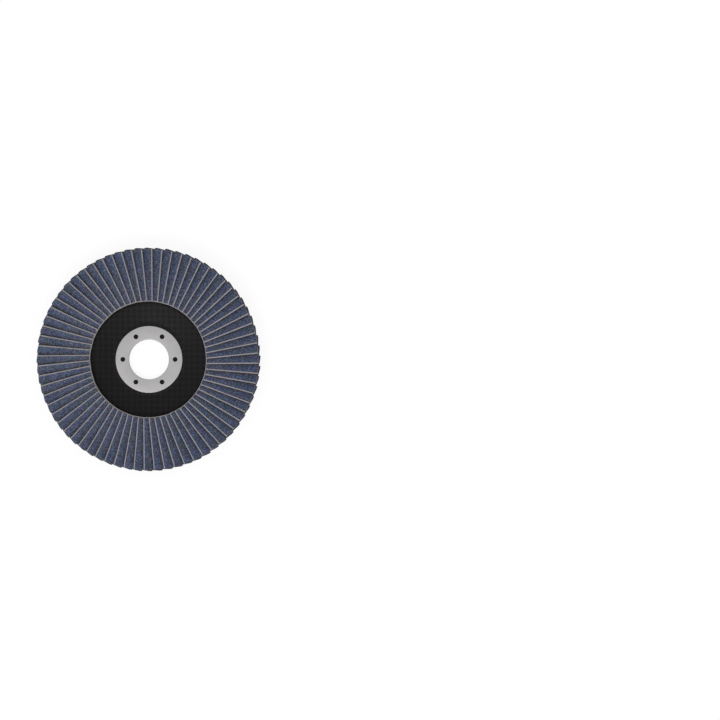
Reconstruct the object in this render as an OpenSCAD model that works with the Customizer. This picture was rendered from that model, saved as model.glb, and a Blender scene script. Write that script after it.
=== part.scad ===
// Flap disc for an angle grinder, lying on its back with the abrasive side up.
// The origin is on the bore's axis, at the back face of the hub. Units are millimetres.

/* [Disc] */
// Diameter that the outermost corners of the flaps are dressed to
disc_d = 125; // [120:0.5:130]
// Bore that sits on the grinder's spindle flange
bore_d = 22.23; // [20:0.01:24]
// Diameter of the open centre inside the flaps' inner ends
opening_d = 64.5; // [61:0.5:68]

/* [Flaps] */
// Number of flaps, which is even because they are grouped in pairs
flap_count = 68; // [60:2:76]
// Thickness of the coated cloth, grain included
flap_t = 1.1; // [0.8:0.05:1.3]
// Width of one flap, measured up its slope
flap_w = 17; // [13:0.5:18]
// Clearance between neighbouring flaps at their inner ends, where they lie closest
flap_gap = 0.08; // [0.04:0.01:0.2]
// Distance that each flap's free edge stands off the line through the axis
edge_offset = 2.55; // [0:0.05:4]
// Radial width of the bevel at the inner end of each flap
end_bevel = 0.4; // [0.1:0.05:1]
// Length that the dressing takes off the outermost corner of each flap
corner_trim = 0.3; // [0.1:0.05:0.8]
// Angle of the first flap from the first hole of the ring
flap_phase = 0.43; // [0:0.01:5]

/* [Backing plate] */
// Distance by which the flaps' outermost corners pass the plate's edge
flap_overhang = 7.5; // [4:0.5:12]
// Thickness of the pressed laminate
plate_t = 2.6; // [2:0.1:3.5]
// Depth by which the hub stands back from the rim
dish_depth = 3; // [2:0.1:5]
// Diameter of the flat hub
hub_d = 41; // [39:0.5:46]
// Bend radius where the conical dish meets the hub and the rim
bend_r = 3; // [2:0.1:4]
// Width of the flat shoulder between the dish and the flaps
shoulder_w = 0.8; // [0.2:0.1:2]
// Radius on the plate's trimmed edge
plate_edge_r = 0.7; // [0.2:0.1:0.9]

/* [Centre ring] */
// Diameter of the steel ring's flange
ring_d = 37.5; // [36:0.5:42]
// Thickness of the ring's sheet steel
ring_t = 0.8; // [0.5:0.05:1.2]
// Radius on the pressed edges of the ring
ring_edge_r = 0.3; // [0.1:0.05:0.4]
// Distance from the end of the ring's collar to the back of the hub
collar_setback = 0.3; // [0.1:0.05:1]
// Number of keying holes in the flange
key_hole_count = 6; // [4:1:8]
// Diameter of the circle that the keying holes lie on
key_circle_d = 29.2; // [28.5:0.1:31]
// Diameter of a keying hole
key_hole_d = 2.5; // [1.5:0.1:3]

/* [Adhesive] */
// Adhesive left under the lowest edge of each flap
glue_under = 0.4; // [0.2:0.05:1]
// Thickness of the adhesive at the inner ends of the flaps
glue_lip_t = 0.7; // [0.5:0.05:1.5]
// Thickness of the adhesive where it has risen between the flaps
glue_t = 1.6; // [1.2:0.1:3]
// Distance from the flaps' inner ends to the inner wall of the adhesive
glue_inset = 0.6; // [0.2:0.1:2]
// Distance from the flaps' inner ends to where the adhesive rises between them
glue_rise = 4; // [3:0.1:8]
// Distance that the adhesive stays back from the plate's edge
glue_edge = 0.8; // [0.2:0.1:3]

/* [Hidden] */
$fn = 96;
// Flats along each bend of a revolved section
bend_steps = 5;
corner_steps = 5;
// Length by which a cutter passes the faces that it opens
through = 1;

disc_r = disc_d / 2;
bore_r = bore_d / 2;
opening_r = opening_d / 2;
hub_r = hub_d / 2;
plate_r = disc_r - flap_overhang;
ring_r = ring_d / 2;
collar_r = bore_r + ring_t;
dish_r = opening_r - shoulder_w;

// Heights above the back of the hub
hub_front_z = plate_t;
ring_front_z = hub_front_z + ring_t;
rim_front_z = hub_front_z + dish_depth;
flap_foot_z = rim_front_z + glue_under;

// Slope of the dish, whose straight side is tangent to both bends of the laminate's middle line
dish_w = dish_r - hub_r;
dish_angle = asin(2 * bend_r / norm([dish_w, 2 * bend_r - dish_depth])) - atan2(2 * bend_r - dish_depth, dish_w);

// The flaps lie on each other at their inner ends, so their thickness sets their slope
flap_pitch = 360 / flap_count;
flap_tilt = asin((flap_t + flap_gap) / (opening_r * sin(flap_pitch)));
flap_low_x = edge_offset - flap_w * cos(flap_tilt);
flap_end_y = sqrt(pow(disc_r + corner_trim, 2) - flap_low_x * flap_low_x);
flap_top_z = flap_foot_z + flap_w * sin(flap_tilt) + flap_t * cos(flap_tilt);

pair_count = flap_count / 2;
function pair_name(i) = str("flap_pair_", i < 10 ? "0" : "", i);

// Points of an arc about a centre, from one angle to another
function arc(centre, r, from, to, steps) =
    [for (i = [0 : steps]) centre + r * [cos(from + (to - from) * i / steps), sin(from + (to - from) * i / steps)]];

// Glass-fibre and resin plate, pressed with its hub set back from the rim
module backing_plate() {
    half_t = plate_t / 2;
    hub_bend = [hub_r, half_t + bend_r];
    rim_bend = [dish_r, half_t + dish_depth - bend_r];
    edge_x = plate_r - plate_edge_r;
    color("#26262a")
    rotate_extrude()
    polygon(concat(
        [[collar_r, 0]],
        arc(hub_bend, bend_r + half_t, -90, dish_angle - 90, bend_steps),
        arc(rim_bend, bend_r - half_t, dish_angle + 90, 90, bend_steps),
        arc([edge_x, dish_depth + plate_edge_r], plate_edge_r, -90, 0, corner_steps),
        arc([edge_x, rim_front_z - plate_edge_r], plate_edge_r, 0, 90, corner_steps),
        arc(rim_bend, bend_r + half_t, 90, dish_angle + 90, bend_steps),
        arc(hub_bend, bend_r - half_t, dish_angle - 90, -90, bend_steps),
        [[collar_r, hub_front_z]]
    ));
}

// Pressed steel ring: a flange on the hub, and a collar that lines the bore
module centre_ring() {
    color("#b0b0ae")
    difference() {
        rotate_extrude()
        polygon(concat(
            [[bore_r, collar_setback], [collar_r, collar_setback], [collar_r, hub_front_z], [ring_r, hub_front_z]],
            arc([ring_r - ring_edge_r, ring_front_z - ring_edge_r], ring_edge_r, 0, 90, corner_steps),
            arc([bore_r + ring_edge_r, ring_front_z - ring_edge_r], ring_edge_r, 90, 180, corner_steps)
        ));
        for (i = [0 : key_hole_count - 1])
            rotate(i * 360 / key_hole_count)
            translate([key_circle_d / 2, 0, hub_front_z - through])
            cylinder(d = key_hole_d, h = ring_t + 2 * through);
    }
}

// Cloth for one flap: a rectangle on a slope, its free edge up and its inner end cut on a bevel
module cut_cloth() {
    translate([flap_low_x, 0, flap_foot_z + flap_t * cos(flap_tilt)])
    rotate([0, -flap_tilt, 0])
    rotate([90, 0, 90])
    linear_extrude(flap_w)
    polygon([[opening_r, -flap_t], [flap_end_y, -flap_t], [flap_end_y, 0], [opening_r + end_bevel, 0]]);
}

// One flap, whose outermost corner is dressed with the rim
module flap() {
    intersection() {
        cut_cloth();
        cylinder(r = disc_r, h = flap_top_z + through);
    }
}

// Puts a flap in its place round the disc, counted anticlockwise from the first hole of the ring
module in_place(k) {
    rotate(flap_phase + k * flap_pitch - 90)
    children();
}

// Two neighbouring flaps, the second lying on the first
module flap_pair(i) {
    color("#48506a")
    for (k = [2 * i - 2, 2 * i - 1])
        in_place(k)
        flap();
}

// Ring of adhesive on the plate's rim, with a seat pressed into it by every flap
module adhesive_bed() {
    inner_r = opening_r + glue_inset;
    rise_r = opening_r + glue_rise;
    outer_r = plate_r - glue_edge;
    color("#3a3733")
    difference() {
        translate([0, 0, rim_front_z])
        rotate_extrude()
        polygon([
            [inner_r, 0], [outer_r, 0], [outer_r, glue_t], [rise_r, glue_t],
            [rise_r, glue_lip_t], [inner_r, glue_lip_t]
        ]);
        for (k = [0 : flap_count - 1])
            in_place(k)
            cut_cloth();
    }
}

backing_plate();
centre_ring();
adhesive_bed();
for (i = [1 : pair_count]) {
    flap_pair(i);
}
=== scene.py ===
"""The looks of a flap disc for an angle grinder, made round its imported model. Sizes are in metres."""
import math

import bpy
import numpy as np
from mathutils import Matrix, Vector


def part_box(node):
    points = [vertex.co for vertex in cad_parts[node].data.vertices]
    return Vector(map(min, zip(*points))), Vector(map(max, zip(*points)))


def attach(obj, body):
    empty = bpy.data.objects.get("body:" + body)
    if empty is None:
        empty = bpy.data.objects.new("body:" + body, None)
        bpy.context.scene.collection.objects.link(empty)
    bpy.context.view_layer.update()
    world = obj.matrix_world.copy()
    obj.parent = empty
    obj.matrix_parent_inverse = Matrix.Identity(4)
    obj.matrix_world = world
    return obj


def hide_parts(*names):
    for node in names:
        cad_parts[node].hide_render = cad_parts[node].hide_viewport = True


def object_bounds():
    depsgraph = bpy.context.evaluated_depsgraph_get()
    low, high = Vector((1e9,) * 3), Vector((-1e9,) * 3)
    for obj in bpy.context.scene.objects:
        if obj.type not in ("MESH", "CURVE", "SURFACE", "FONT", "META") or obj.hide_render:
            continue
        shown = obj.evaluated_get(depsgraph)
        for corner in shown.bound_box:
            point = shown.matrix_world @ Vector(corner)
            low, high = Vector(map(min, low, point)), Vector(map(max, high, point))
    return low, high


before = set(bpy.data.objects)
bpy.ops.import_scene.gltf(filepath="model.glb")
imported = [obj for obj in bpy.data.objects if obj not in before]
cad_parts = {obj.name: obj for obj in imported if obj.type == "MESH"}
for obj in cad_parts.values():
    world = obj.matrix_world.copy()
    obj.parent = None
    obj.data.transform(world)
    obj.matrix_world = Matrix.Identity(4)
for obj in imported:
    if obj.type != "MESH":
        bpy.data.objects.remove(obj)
cad_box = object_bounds()
scene = bpy.context.scene

# The camera looks straight down on the abrasive side through a long lens. The disc lies left of the
# picture's middle, so the camera stands to the right of its axis and sees the bore's left wall a bit.
photo_px = 720
disc_px = 224.2
disc_x_px = 148.65
disc_y_px = 359.4
camera_rise = 2.1
rim_z = 0.0065
px_size = (cad_box[1].x - cad_box[0].x) / disc_px

lens = bpy.data.cameras.new("camera")
lens.sensor_width = 36
lens.lens = lens.sensor_width * camera_rise / (photo_px * px_size)
camera = bpy.data.objects.new("camera", lens)
camera.location = (
    (photo_px / 2 - disc_x_px) * px_size,
    (disc_y_px - photo_px / 2) * px_size,
    rim_z + camera_rise,
)
scene.collection.objects.link(camera)
scene.camera = camera

# Backing plate: black phenolic resin over coarse woven glass fibre, hot-pressed into a dish whose hub
# stands back from the rim. The crowns of the weave stay proud in the resin on both of its faces.
yarn_pitch = 0.00318
weave_depth = 0.00009
plate_turns = 640
back_rings = 88
hidden_rings = 4
front_rings = 38
plate_edge_r = 0.0007
flap_cover_r = 0.0339
ring_cover_r = 0.0184
crease_angle = math.radians(40)
resin_black = (0.0008, 0.0008, 0.0009)
yarn_black = (0.0075, 0.0075, 0.0076)


class Wire:
    """What comes out of a node. Arithmetic on it adds Math nodes to its tree."""

    def __init__(self, tree, socket):
        self.tree = tree
        self.socket = socket

    def beside(self, name):
        """Another output of the same node."""
        return Wire(self.tree, self.socket.node.outputs[name])

    def __add__(self, other):
        return self.tree.maths("ADD", self, other)

    def __radd__(self, other):
        return self.tree.maths("ADD", other, self)

    def __sub__(self, other):
        return self.tree.maths("SUBTRACT", self, other)

    def __rsub__(self, other):
        return self.tree.maths("SUBTRACT", other, self)

    def __mul__(self, other):
        return self.tree.maths("MULTIPLY", self, other)

    def __rmul__(self, other):
        return self.tree.maths("MULTIPLY", other, self)

    def __truediv__(self, other):
        return self.tree.maths("DIVIDE", self, other)

    def __rtruediv__(self, other):
        return self.tree.maths("DIVIDE", other, self)


class Tree:
    """A node tree being wired, of a material, the world or a geometry."""

    def __init__(self, tree):
        self.tree = tree
        tree.nodes.clear()

    def node(self, kind, settings, sockets, out=0):
        """Adds a node, sets it, feeds its sockets by name or place, and returns one of its outputs."""
        made = self.tree.nodes.new(kind)
        for name, value in settings.items():
            if name == "stops":
                set_stops(made.color_ramp.elements, value)
            else:
                setattr(made, name, value)
        inputs = [socket for socket in made.inputs if socket.enabled]
        for place, value in sockets.items():
            for each in value if isinstance(value, list) else [value]:
                if isinstance(each, Wire):
                    self.tree.links.new(each.socket, pick(inputs, place))
                else:
                    pick(inputs, place).default_value = each
        outputs = [socket for socket in made.outputs if socket.enabled]
        return Wire(self, pick(outputs, out)) if outputs else None

    def maths(self, operation, *values, clamp=False):
        """A Math node on numbers and wires."""
        settings = {"operation": operation, "use_clamp": clamp}
        return self.node("ShaderNodeMath", settings, dict(enumerate(values)))

    def vector(self, x, y, z):
        return self.node("ShaderNodeCombineXYZ", {}, {"X": x, "Y": y, "Z": z})

    def vectors(self, operation, *values):
        """A Vector Math node on vectors, colours and wires."""
        return self.node("ShaderNodeVectorMath", {"operation": operation}, dict(enumerate(values)))

    def mix(self, mask, low, high):
        """A colour that goes from low to high as the mask goes from 0 to 1."""
        return self.node("ShaderNodeMix", {"data_type": "RGBA"}, {"Factor": mask, "A": low, "B": high})

    def bump(self, strength, distance, height):
        """A normal tilted as if the surface rose by the distance where the height is 1."""
        return self.node(
            "ShaderNodeBump", {}, {"Strength": strength, "Distance": distance, "Height": height}
        )


def pick(sockets, place):
    """One of a node's sockets, by its name or by its place in the row."""
    if isinstance(place, int):
        return sockets[place]
    return next(socket for socket in sockets if socket.name == place)


def set_stops(elements, stops):
    """Sets a ramp's stops, which are pairs of place and colour."""
    while len(elements) < len(stops):
        elements.new(1)
    for element, (place, colour) in zip(elements, stops):
        element.position = place
        element.color = rgba(colour)


def rgba(colour):
    return (*colour, 1)


def finish(name, wire_up, constants):
    """A material: wire_up gives what varies over the surface, and constants are set on the shader."""
    material = bpy.data.materials.new(name)
    material.use_nodes = True
    tree = Tree(material.node_tree)
    shader = tree.node("ShaderNodeBsdfPrincipled", {}, {**constants, **wire_up(tree)})
    tree.node("ShaderNodeOutputMaterial", {}, {"Surface": shader})
    return material


def laminate(tree):
    """Black resin, greyer and glossier on the crowns of the glass yarns, with fine pits."""
    place = tree.node("ShaderNodeTexCoord", {}, {}, "Object")
    crown = tree.node("ShaderNodeAttribute", {"attribute_name": "weave"}, {}, "Fac")
    cloud = tree.node("ShaderNodeTexNoise", {}, {"Vector": place, "Scale": 130, "Detail": 3})
    pits = tree.node("ShaderNodeTexNoise", {}, {"Vector": place, "Scale": 3200, "Detail": 2})
    return {
        "Base Color": tree.mix(crown * (0.4 + cloud), rgba(resin_black), rgba(yarn_black)),
        "Roughness": 0.5 - crown * 0.08 + cloud * 0.12,
        "Normal": tree.bump(strength=0.35, distance=0.00003, height=pits),
    }


def plate_height(side, radii):
    """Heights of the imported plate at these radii, on its front (side 1) or its back (side -1)."""
    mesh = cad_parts["backing_plate"].data
    corners = {
        (mesh.vertices[i].co.xy.length, mesh.vertices[i].co.z)
        for face in mesh.polygons
        if side * face.normal.z > 0.1
        for i in face.vertices
    }
    return np.interp(radii, *zip(*sorted(corners)))


def arc(centre_r, centre_z, radius, start, end, steps=5):
    """Radii and heights of a round edge in a section, from one angle in degrees to another."""
    turn = np.radians(np.linspace(start, end, steps + 1))
    return centre_r + radius * np.cos(turn), centre_z + radius * np.sin(turn)


def turned(section, turns):
    """Points of a section turned round the axis, a row for each of its points. The section is a list of
    stretches, each of them its radii and its heights."""
    radii, heights = (np.concatenate(values) for values in zip(*section))
    turn = np.linspace(0, 2 * np.pi, turns, endpoint=False)
    x = np.outer(radii, np.cos(turn))
    y = np.outer(radii, np.sin(turn))
    return np.stack([x, y, np.broadcast_to(heights[:, None], x.shape)], -1)


def ring_mesh(name, points):
    """A smooth mesh over turned points, whose section is closed and listed anticlockwise."""
    number = np.arange(points.size // 3).reshape(points.shape[:2])
    ahead = np.roll(number, -1, 1)
    quads = np.stack([number, ahead, np.roll(ahead, -1, 0), np.roll(number, -1, 0)], -1)
    mesh = bpy.data.meshes.new(name)
    mesh.from_pydata(points.reshape(-1, 3).tolist(), [], quads.reshape(-1, 4).tolist())
    mesh.shade_smooth()
    mesh.set_sharp_from_angle(angle=crease_angle)
    return mesh


def store(mesh, name, kind, values):
    """Keeps a number or a vector for each vertex of a mesh, for the trees to read."""
    key = {"FLOAT": "value", "FLOAT_VECTOR": "vector"}[kind]
    mesh.attributes.new(name, kind, "POINT").data.foreach_set(key, values.ravel())


def weave(x, y):
    """Height of a plain weave, from 0 in the resin between the yarns to 1 on their crowns."""
    across = np.cos(np.pi * x / yarn_pitch)
    along = np.cos(np.pi * y / yarn_pitch)
    over = across * along
    dip = 0.38
    return np.maximum(across**2 * (1 - dip + dip * over), along**2 * (1 - dip - dip * over))


def shown(name, mesh, *materials):
    """An object in the scene at the origin, for a mesh that holds its own place."""
    for material in materials:
        mesh.materials.append(material)
    piece = bpy.data.objects.new(name, mesh)
    scene.collection.objects.link(piece)
    return piece


plate_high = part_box("backing_plate")[1]
edge_r = plate_high.x - plate_edge_r
hole_r = min(v.co.xy.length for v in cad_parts["backing_plate"].data.vertices)
back_r = np.linspace(hole_r, edge_r, back_rings)
hidden_r = np.linspace(edge_r, flap_cover_r, hidden_rings + 2)[1:-1]
front_r = np.linspace(flap_cover_r, ring_cover_r, front_rings)
rim_back_z = plate_height(-1, edge_r)
stretches = [
    (-1, back_r, plate_height(-1, back_r)),
    (0, *arc(edge_r, rim_back_z + plate_edge_r, plate_edge_r, -75, 0)),
    (0, *arc(edge_r, plate_high.z - plate_edge_r, plate_edge_r, 0, 90)),
    (0, hidden_r, plate_height(1, hidden_r)),
    (1, front_r, plate_height(1, front_r)),
    (0, [hole_r], plate_height(1, [hole_r])),
]
side = np.concatenate([np.full(len(radii), way) for way, radii, _ in stretches])[:, None]
plate_points = turned([(radii, heights) for _, radii, heights in stretches], plate_turns)
crowns = weave(plate_points[..., 0], plate_points[..., 1])
plate_points[..., 2] -= side * weave_depth * (1 - crowns)
plate_mesh = ring_mesh("woven_plate", plate_points)
store(plate_mesh, "weave", "FLOAT", crowns * abs(side))
plate = shown("woven_plate", plate_mesh, finish("laminate", laminate, {"Specular IOR Level": 0.15}))
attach(plate, "root")
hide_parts("backing_plate")

# Centre ring: a flange and a collar pressed from one sheet of zinc-coated steel. The collar lines the
# bore, and the resin in six small punched holes keys the flange to the plate.
ring_sheet = 0.0008
ring_edge_r = 0.0003
ring_edge_steps = 8
ring_turns = 256
key_holes = 6
key_circle_r = 0.0146
key_hole_r = 0.00125
key_chamfer = 0.00012
key_hole_sides = 48
punch_reach = 0.0012
zinc_dark = (0.317, 0.31, 0.313)
zinc_light = (0.397, 0.389, 0.392)


def geometry_tree(name, inputs):
    """A new Geometry Nodes tree with these named inputs, and the wires that come out of them."""
    group = bpy.data.node_groups.new(name, "GeometryNodeTree")
    group.is_modifier = True
    group.interface.new_socket("Geometry", in_out="OUTPUT", socket_type="NodeSocketGeometry")
    group.interface.new_socket("Geometry", in_out="INPUT", socket_type="NodeSocketGeometry")
    for title, kind in inputs.items():
        group.interface.new_socket(title, in_out="INPUT", socket_type=f"NodeSocket{kind}")
    tree = Tree(group)
    first = tree.node("NodeGroupInput", {}, {})
    return tree, {title: first.beside(title) for title in ["Geometry", *inputs]}


def worked(name, start, tree, settings):
    """What a geometry tree makes of a mesh with these settings, as a plain object in the scene."""
    piece = shown(name, start)
    modifier = piece.modifiers.new(name, "NODES")
    modifier.node_group = tree.tree
    for socket in tree.tree.interface.items_tree:
        if socket.in_out == "INPUT" and socket.name in settings:
            modifier[socket.identifier] = settings[socket.name]
    settled = piece.evaluated_get(bpy.context.evaluated_depsgraph_get())
    mesh = bpy.data.meshes.new_from_object(settled)
    piece.modifiers.clear()
    piece.data = mesh
    mesh.name = name
    return piece


def punched_ring():
    """Punches the holes, each a cylinder with a small cone at its mouth, through the flange."""
    tree, given = geometry_tree(
        "punched_ring",
        {
            "Holes": "Int",
            "Circle Radius": "Float",
            "Hole Radius": "Float",
            "Chamfer": "Float",
            "Flange Height": "Float",
            "Material": "Material",
        },
    )
    circle = tree.node(
        "GeometryNodeMeshCircle", {}, {"Vertices": given["Holes"], "Radius": given["Circle Radius"]}
    )
    raised = tree.vector(0, 0, given["Flange Height"])
    spots = tree.node("GeometryNodeSetPosition", {}, {"Geometry": circle, "Offset": raised})
    rod = tree.node(
        "GeometryNodeMeshCylinder",
        {},
        {"Vertices": key_hole_sides, "Radius": given["Hole Radius"], "Depth": 2 * punch_reach},
    )
    mouth = tree.node(
        "GeometryNodeMeshCone",
        {},
        {
            "Vertices": key_hole_sides,
            "Radius Bottom": given["Hole Radius"],
            "Radius Top": given["Hole Radius"] + given["Chamfer"] * 2,
            "Depth": given["Chamfer"] * 2,
        },
    )
    sunk = tree.node(
        "GeometryNodeTransform",
        {},
        {"Geometry": mouth, "Translation": tree.vector(0, 0, given["Chamfer"] * -1)},
    )
    cuts = []
    for punch in (rod, sunk):
        placed = tree.node("GeometryNodeInstanceOnPoints", {}, {"Points": spots, "Instance": punch})
        cuts.append(tree.node("GeometryNodeRealizeInstances", {}, {"Geometry": placed}))
    holed = tree.node(
        "GeometryNodeMeshBoolean",
        {"operation": "DIFFERENCE", "solver": "EXACT"},
        {"Mesh 1": given["Geometry"], "Mesh 2": cuts},
    )
    dressed = tree.node(
        "GeometryNodeSetMaterial", {}, {"Geometry": holed, "Material": given["Material"]}
    )
    tree.node("NodeGroupOutput", {}, {"Geometry": dressed})
    return tree


def ring_steel(tree):
    """Dull zinc: faint clouds, and fine streaks along the way that the sheet was rolled."""
    place = tree.node("ShaderNodeTexCoord", {}, {}, "Object")
    rolled = tree.node("ShaderNodeMapping", {}, {"Vector": place, "Scale": (0.04, 1, 1)})
    streak = tree.node("ShaderNodeTexNoise", {}, {"Vector": rolled, "Scale": 5200, "Detail": 3})
    cloud = tree.node("ShaderNodeTexNoise", {}, {"Vector": place, "Scale": 260, "Detail": 4})
    return {
        "Base Color": tree.mix(streak * 0.5 + cloud * 0.5, rgba(zinc_dark), rgba(zinc_light)),
        "Roughness": 0.36 + cloud * 0.14,
        "Normal": tree.bump(strength=0.2, distance=0.00001, height=streak),
    }


ring_low, ring_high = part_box("centre_ring")
bore_r = min(v.co.xy.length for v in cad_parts["centre_ring"].data.vertices)
flange_z = ring_high.z - ring_sheet
ring_section = [
    ([bore_r, bore_r + ring_sheet], [ring_low.z, ring_low.z]),
    ([bore_r + ring_sheet, ring_high.x], [flange_z, flange_z]),
    arc(ring_high.x - ring_edge_r, ring_high.z - ring_edge_r, ring_edge_r, 0, 90, ring_edge_steps),
    arc(bore_r + ring_edge_r, ring_high.z - ring_edge_r, ring_edge_r, 90, 180, ring_edge_steps),
]
ring = worked(
    "pressed_ring",
    ring_mesh("turned_ring", turned(ring_section, ring_turns)),
    punched_ring(),
    {
        "Holes": key_holes,
        "Circle Radius": key_circle_r,
        "Hole Radius": key_hole_r,
        "Chamfer": key_chamfer,
        "Flange Height": ring_high.z,
        "Material": finish("ring_steel", ring_steel, {"Metallic": 1}),
    },
)
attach(ring, "root")
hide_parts("centre_ring")

# Adhesive bed: filled epoxy, run in a ring on the plate's rim and cured round the lower edges of the
# flaps. It shows only from the side, between the plate and the flaps.
resin_dark = (0.022, 0.019, 0.017)
resin_light = (0.05, 0.045, 0.04)


def adhesive(tree):
    """Grey-brown resin with specks of filler and a blistered skin."""
    place = tree.node("ShaderNodeTexCoord", {}, {}, "Object")
    blister = tree.node("ShaderNodeTexNoise", {}, {"Vector": place, "Scale": 900, "Detail": 3})
    specks = tree.node("ShaderNodeTexVoronoi", {}, {"Vector": place, "Scale": 2600})
    return {
        "Base Color": tree.mix(blister * (0.6 + specks), rgba(resin_dark), rgba(resin_light)),
        "Roughness": 0.35 + blister * 0.3,
        "Normal": tree.bump(strength=0.6, distance=0.0001, height=blister),
    }


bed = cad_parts["adhesive_bed"]
bed.data.materials.clear()
bed.data.materials.append(finish("adhesive", adhesive, {"Specular IOR Level": 0.4}))

# Flaps: rectangles of tan cotton cloth, cut square, with blue-grey zirconia grain bonded to the upper
# side. Each lies on its neighbour on one slope, and the adhesive holds its lower edge.
flap_w = 0.017
flap_t = 0.0011
flap_gap = 0.00008
disc_r = 0.0625
opening_r = 0.03225
edge_offset = 0.00255
end_bevel = 0.0004
corner_trim = 0.0003
first_edge_degrees = 0.43
first_angle = math.radians(first_edge_degrees - 90)
flap_nodes = sorted(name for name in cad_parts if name.startswith("flap_pair_"))
pitch = math.pi / len(flap_nodes)
slope = math.asin((flap_t + flap_gap) / (opening_r * math.sin(pitch)))
low_x = edge_offset - flap_w * math.cos(slope)
end_y = math.sqrt((disc_r + corner_trim) ** 2 - low_x**2)
foot_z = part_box(flap_nodes[0])[0].z + flap_t * math.cos(slope)
bare_w = 0.007
bare_columns = 26
flap_columns = 5
flap_rows = 104
flap_layers = 3
grain_size = 0.00034
grain_relief = 0.0002
grain_t = 0.000224
chip_reach = 0.0004
chip_least = 0.00009
end_chip_reach = 0.00006
grain_fade = 0.00004
# Painted shade on the grain beside the next flap's edge: how far it reaches and how wide it fades out.
painted_shade_reach = 0.0008
painted_shade_fade = 0.0013
fray = 0.00009
slide = 0.0002
slide_seed = 5
sway = math.radians(0.1)
sway_seed = 3
noise_step = 0.01
hair = 0.00001
grain_stops = [
    (0, (0.01, 0.012, 0.018)),
    (0.3, (0.032, 0.044, 0.082)),
    (0.5, (0.052, 0.075, 0.147)),
    (0.7, (0.077, 0.114, 0.215)),
    (1, (0.24, 0.29, 0.41)),
]
grain_gap = (0.008, 0.009, 0.014)
violet_tint = (1.2, 0.95, 1.02)
teal_tint = (0.8, 1.04, 0.99)
blue_tint = (0.95, 0.95, 1.18)
slate_tint = (1, 1.01, 0.88)
# The colour that the painted shade beside the next flap's edge multiplies the grain by.
painted_shade_tint = (1.08, 0.93, 0.74)
cotton_light = (0.52, 0.478, 0.47)
cotton_dark = (0.275, 0.252, 0.247)
thread_pitch = 0.0005
white = (1, 1, 1)


def flap_blank():
    """One flap lying flat, X up its slope, Y along it and its grain side at 0. It is finely divided on
    the strip that its neighbour leaves bare."""
    trimmed_w = (-low_x - math.sqrt(disc_r**2 - end_y**2)) / math.cos(slope)
    hidden = np.append(0, np.linspace(trimmed_w, flap_w - bare_w, flap_columns, endpoint=False))
    lattice = np.meshgrid(
        np.append(hidden, np.linspace(flap_w - bare_w, flap_w, bare_columns + 1)),
        np.linspace(0, 1, flap_rows + 1),
        np.linspace(0, 1, flap_layers + 1),
        indexing="ij",
    )
    x, along, depth = lattice
    aside = low_x + x * math.cos(slope) + flap_t * depth * math.sin(slope)
    outer = np.minimum(end_y, np.sqrt(disc_r**2 - aside**2))
    inner = opening_r + end_bevel * (1 - depth)
    y = inner + along * (outer - inner)
    points = np.stack([x, y, -flap_t * depth], -1).reshape(-1, 3)
    outward = np.stack([x == flap_w, 1.0 * (along == 1) - (along == 0), 0 * x], -1).reshape(-1, 3)
    number = np.arange(x.size).reshape(x.shape)
    back = number[:, :, -1]
    outline = np.concatenate([back[0, :-1], back[:-1, -1], back[-1, :0:-1], back[:0:-1, 0]])

    # The sides of the flap, each with its place on the map (left, right, low and high) and with what
    # runs across and up it there. The strip that lies bare gets the most room.
    hidden_share = 0.22
    uneven = np.interp(x, [0, flap_w - bare_w, flap_w], [0, hidden_share, 1])
    sides = [
        (number[:, :, 0], (0.01, 0.49, 0.01, 0.88), uneven, along),
        (number[-1].T, (0.85, 0.93, 0.01, 0.88), depth, along),
        (number[0], (0.95, 0.98, 0.01, 0.88), depth, along),
        (number[:, -1], (0.01, 0.93, 0.89, 0.935), x / flap_w, depth),
        (number[:, 0].T, (0.01, 0.93, 0.945, 0.99), x / flap_w, depth),
    ]
    faces = []
    map_places = []
    for numbers, place, over, up in sides:
        quads = np.stack([numbers[:-1, :-1], numbers[1:, :-1], numbers[1:, 1:], numbers[:-1, 1:]], -1)
        faces.append(quads.reshape(-1, 4))
        map_places.append(on_map(faces[-1].ravel(), place, over, up))
    map_places.append(on_map(outline, (0.51, 0.83, 0.01, 0.88), x / flap_w, along))
    faces = np.concatenate(faces)
    used = np.unique(faces)
    renumbered = np.searchsorted(used, np.arange(x.size))

    polygons = [*renumbered[faces].tolist(), renumbered[outline].tolist()]
    mesh = bpy.data.meshes.new("flap_blank")
    mesh.from_pydata(points[used].tolist(), [], polygons)
    mesh.shade_smooth()
    mesh.set_sharp_from_angle(angle=crease_angle)
    store(mesh, "sheet", "FLOAT_VECTOR", points[used])
    store(mesh, "outward", "FLOAT_VECTOR", outward[used])
    mesh.uv_layers.new(name="OFBake").uv.foreach_set("vector", np.concatenate(map_places).ravel())
    return mesh


def on_map(numbers, place, over, up):
    """Map coordinates of these corners inside a place on the left half of the map."""
    left, right, low, high = place
    across = left + (right - left) * over.ravel()[numbers]
    return np.stack([across / 2, low + (high - low) * up.ravel()[numbers]], -1)


def flap_noise(tree, own, scale, detail):
    """Noise from 0 to 1 over a flap's sheet, with each flap's own pattern."""
    sockets = {**own, "Scale": scale, "Detail": detail}
    return tree.node("ShaderNodeTexNoise", {"noise_dimensions": "4D"}, sockets)


def flap_grain(tree, own, size):
    """How far out in its grain a place on the sheet lies, with each flap's own pattern."""
    return tree.node("ShaderNodeTexVoronoi", {"voronoi_dimensions": "4D"}, {**own, "Scale": 1 / size})


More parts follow.
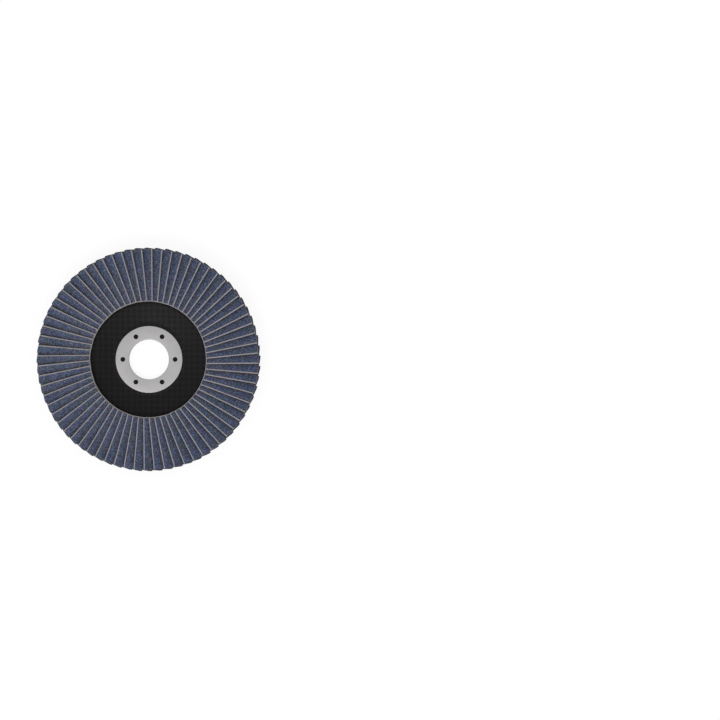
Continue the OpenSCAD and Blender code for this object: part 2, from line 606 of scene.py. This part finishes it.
def two_flaps():
    """Sets two flaps on their slope, roughens their grain side, frays their cut edges, and gives each
    its own half of the map."""
    tree, given = geometry_tree(
        "two_flaps",
        {
            "First Flap": "Int",
            "First Angle": "Float",
            "Pitch": "Float",
            "Slope": "Float",
            "Low Edge": "Float",
            "Height": "Float",
            "Grain Size": "Float",
            "Grain Relief": "Float",
            "Fray": "Float",
            "Slide": "Float",
            "Sway": "Float",
            "Material": "Material",
        },
    )

    def chance(flap, reach, seed):
        """A number from 0 to reach that is each flap's own."""
        return tree.node(
            "FunctionNodeRandomValue",
            {"data_type": "FLOAT"},
            {"Min": 0, "Max": reach, "ID": flap, "Seed": seed},
        )

    def turned_by(x, y, z):
        return tree.node("FunctionNodeEulerToRotation", {}, {"Euler": tree.vector(x, y, z)})

    def rotated(vector, rotation):
        return tree.node("FunctionNodeRotateVector", {}, {"Vector": vector, "Rotation": rotation})

    def heading(flap):
        return flap * given["Pitch"] + given["First Angle"] + chance(flap, given["Sway"], sway_seed)

    def stored(name, kind="FLOAT"):
        return tree.node("GeometryNodeInputNamedAttribute", {"data_type": kind}, {"Name": name})

    flap = tree.node("GeometryNodeInputIndex", {}, {}) + given["First Flap"]
    slid = chance(flap, given["Slide"], slide_seed)
    unturned = tree.vector(given["Low Edge"], slid * -1, given["Height"])
    foot = rotated(unturned, turned_by(0, 0, heading(flap)))
    spots = tree.node("GeometryNodePoints", {}, {"Count": 2, "Position": foot})
    named = tree.node(
        "GeometryNodeStoreNamedAttribute",
        {"data_type": "FLOAT", "domain": "POINT"},
        {"Geometry": spots, "Name": "flap", "Value": flap},
    )
    placed = tree.node(
        "GeometryNodeInstanceOnPoints",
        {},
        {
            "Points": named,
            "Instance": given["Geometry"],
            "Rotation": turned_by(0, given["Slope"] * -1, heading(flap)),
        },
    )
    real = tree.node("GeometryNodeRealizeInstances", {}, {"Geometry": placed})

    flap = stored("flap")
    sheet = stored("sheet", "FLOAT_VECTOR")
    own = {"Vector": sheet, "W": flap * noise_step}
    grain = flap_grain(tree, own, given["Grain Size"])
    worn = flap_noise(tree, own, scale=420, detail=1)
    threads = flap_noise(tree, own, scale=2400, detail=1)
    height = tree.node("ShaderNodeSeparateXYZ", {}, {"Vector": sheet}, "Z")
    on_top = tree.maths("GREATER_THAN", height, -hair)
    sunk = tree.maths("MULTIPLY", grain, 1.1, clamp=True) * given["Grain Relief"] * on_top
    frayed = (worn * 0.6 + threads * 0.4) * given["Fray"] * -1
    outward = stored("outward", "FLOAT_VECTOR")
    inward = tree.node("ShaderNodeVectorMath", {"operation": "SCALE"}, {0: outward, "Scale": frayed})
    moved = rotated(
        tree.vectors("ADD", inward, tree.vector(0, 0, sunk * -1)),
        turned_by(0, given["Slope"] * -1, heading(flap)),
    )
    rough = tree.node("GeometryNodeSetPosition", {}, {"Geometry": real, "Offset": moved})
    half = tree.vector((flap - given["First Flap"]) * 0.5, 0, 0)
    mapped = tree.node(
        "GeometryNodeStoreNamedAttribute",
        {"data_type": "FLOAT2", "domain": "CORNER"},
        {
            "Geometry": rough,
            "Name": "OFBake",
            "Value": tree.vectors("ADD", stored("OFBake", "FLOAT_VECTOR"), half),
        },
    )
    dressed = tree.node(
        "GeometryNodeSetMaterial", {}, {"Geometry": mapped, "Material": given["Material"]}
    )
    tree.node("NodeGroupOutput", {}, {"Geometry": dressed})
    return tree


def abrasive_cloth(tree):
    """Dyed grain on the face, chipped back along the free edge and greyed and darkened by painted shade
    beside the next flap's edge, and cotton threads, soiled in patches, on the cuts and the back."""
    sheet = tree.node("ShaderNodeAttribute", {"attribute_name": "sheet"}, {}, "Vector")
    flap = tree.node("ShaderNodeAttribute", {"attribute_name": "flap"}, {}, "Fac")
    own = {"Vector": sheet, "W": flap * noise_step}
    x = tree.node("ShaderNodeSeparateXYZ", {}, {"Vector": sheet}, "X")
    y = x.beside("Y")
    depth = x.beside("Z") * -1

    def noise(scale, detail=2):
        return flap_noise(tree, own, scale, detail)

    def step(value, width):
        """0 where the value is negative, 1 where it is over the width."""
        return tree.maths("DIVIDE", value, width, clamp=True)

    def patches(scale):
        """Patches of 0 and of 1 with soft borders."""
        return step(noise(scale) - 0.35, 0.3)

    on_face = step(2 * hair - depth, hair)
    on_back = step(depth - flap_t + 2 * hair, hair)
    off_face = step(depth, hair / 5)

    # Where the grain is: on the face as far as it isn't chipped, and at the top of the cuts.
    aside = x * math.cos(slope) + depth * math.sin(slope) + low_x
    from_axis = tree.node(
        "ShaderNodeVectorMath", {"operation": "LENGTH"}, {0: tree.vector(aside, y, 0)}, "Value"
    )
    to_rim = tree.maths("MINIMUM", end_y - y, disc_r - from_axis)
    to_opening = y - (opening_r + end_bevel) + depth * (end_bevel / flap_t)
    chips = noise(scale=1500)
    to_bare = tree.maths(
        "MINIMUM",
        flap_w - x - chips * chip_reach - chip_least,
        tree.maths("MINIMUM", to_rim, to_opening) - chips * end_chip_reach,
    )
    covered = step(to_bare, grain_fade) * on_face
    edge_on = step(noise(scale=1200) * grain_t - depth, 3 * hair) * off_face
    grit = tree.maths("MAXIMUM", covered, edge_on)

    # The grain's colour: each grain has its own tone, the dye drifts from patch to patch, and painted
    # shade greys and darkens the strip beside the next flap's edge, which that edge shades.
    cells = flap_grain(tree, own, grain_size)
    shade = tree.node("ShaderNodeSeparateXYZ", {}, {"Vector": cells.beside("Color")}, "X")
    tone = shade * 0.85 + noise(scale=5000) * 0.35 - 0.12
    dyed = tree.node("ShaderNodeValToRGB", {"stops": grain_stops}, {"Fac": tone})
    to_neighbour = aside * math.cos(pitch) + y * math.sin(pitch) - edge_offset
    for where, low, high in (
        (patches(scale=300), teal_tint, violet_tint),
        (patches(scale=240), slate_tint, blue_tint),
        (step(to_neighbour - painted_shade_reach, painted_shade_fade), painted_shade_tint, white),
    ):
        dyed = tree.vectors("MULTIPLY", dyed, tree.mix(where, rgba(low), rgba(high)))
    between = tree.maths("MULTIPLY", cells * cells, 0.9, clamp=True)
    dyed = tree.mix(between, dyed, rgba(grain_gap))

    # The cotton: fuzzy threads on the cuts, and the weft's slanting ribs on the back.
    thread = noise(scale=3600, detail=1)
    weft = tree.maths("SINE", (x + y) * (2 * math.pi / thread_pitch)) * 0.5 + 0.5
    clean = noise(scale=90) * 0.55 + noise(scale=900) * 0.45
    clean = tree.maths("MULTIPLY", clean - 0.33, 3, clamp=True)
    strand = (thread + (weft - thread) * 0.5 * on_back) * (0.5 + clean * 0.8)
    cotton = tree.mix(strand, rgba(cotton_dark), rgba(cotton_light))

    height = cells * -1.2 * grit + strand * (1 - grit) * 0.6 + noise(scale=9000) * 0.25
    return {
        "Base Color": tree.mix(grit, cotton, dyed),
        "Roughness": 0.9 - grit * (0.2 + shade * 0.3),
        "Normal": tree.bump(strength=0.7, distance=0.0001, height=height),
    }


blank = flap_blank()
pair_tree = two_flaps()
flap_finish = finish("abrasive_cloth", abrasive_cloth, {"Specular IOR Level": 0.35})
for number, node in enumerate(flap_nodes):
    flaps = worked(
        node.replace("pair", "cloths"),
        blank,
        pair_tree,
        {
            "First Flap": 2 * number,
            "First Angle": first_angle,
            "Pitch": pitch,
            "Slope": slope,
            "Low Edge": low_x,
            "Height": foot_z,
            "Grain Size": grain_size,
            "Grain Relief": grain_relief,
            "Fray": fray,
            "Slide": slide,
            "Sway": sway,
            "Material": flap_finish,
        },
    )
    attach(flaps, "root")
    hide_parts(node)

# Floor and light: a plain pale floor under an even white sky, with one weak soft lamp above the
# picture's lower edge, a little to the left. To the camera the floor glows just enough to be white
# outside the disc's shadow.
floor_size = 8
floor_grey = 0.14
floor_bounce = 0.6
floor_glow = 0.88
sky_strength = 0.75
lamp_direction = (-0.35, -1, 1.75)
lamp_distance = 1.2
lamp_size = 0.5
lamp_watts = 4


def seen(tree):
    """1 for what the camera sees, straight or by a reflection or through glass, and 0 for what only
    lights other things."""
    straight = tree.node("ShaderNodeLightPath", {}, {}, "Is Camera Ray")
    mirrored = straight.beside("Is Glossy Ray")
    through = straight.beside("Is Transmission Ray")
    return tree.maths("MAXIMUM", straight, tree.maths("MAXIMUM", mirrored, through))


floor_mesh = bpy.data.meshes.new("floor")
reach = floor_size / 2
corners = [(-reach, -reach, 0), (reach, -reach, 0), (reach, reach, 0), (-reach, reach, 0)]
floor_mesh.from_pydata(corners, [], [(0, 1, 2, 3)])
floor_paint = bpy.data.materials.new("floor")
floor_paint.use_nodes = True
tree = Tree(floor_paint.node_tree)
in_sight = seen(tree)
paint = tree.mix(in_sight, rgba([floor_bounce] * 3), rgba([floor_grey] * 3))
matte = tree.node("ShaderNodeBsdfDiffuse", {}, {"Color": paint})
glow = tree.node("ShaderNodeEmission", {}, {"Color": rgba(white), "Strength": in_sight * floor_glow})
upper = tree.node("ShaderNodeAddShader", {}, {0: matte, 1: glow})
clear = tree.node("ShaderNodeBsdfTransparent", {}, {})
below = tree.node("ShaderNodeNewGeometry", {}, {}, "Backfacing")
sided = tree.node("ShaderNodeMixShader", {}, {0: below, 1: upper, 2: clear})
tree.node("ShaderNodeOutputMaterial", {}, {"Surface": sided})
floor = shown("floor", floor_mesh, floor_paint)

world = bpy.data.worlds.new("white_sky")
world.use_nodes = True
scene.world = world
tree = Tree(world.node_tree)
strength = seen(tree) * (1 - sky_strength) + sky_strength
sky = tree.node("ShaderNodeBackground", {}, {"Color": rgba(white), "Strength": strength})
tree.node("ShaderNodeOutputWorld", {}, {"Surface": sky})

lamp_data = bpy.data.lights.new("soft_lamp", "AREA")
lamp_data.size = lamp_size
lamp_data.energy = lamp_watts
lamp = bpy.data.objects.new("soft_lamp", lamp_data)
towards = Vector(lamp_direction).normalized()
lamp.location = towards * lamp_distance
lamp.rotation_euler = towards.to_track_quat("Z", "Y").to_euler()
scene.collection.objects.link(lamp)
scene.view_settings.view_transform = "Standard"
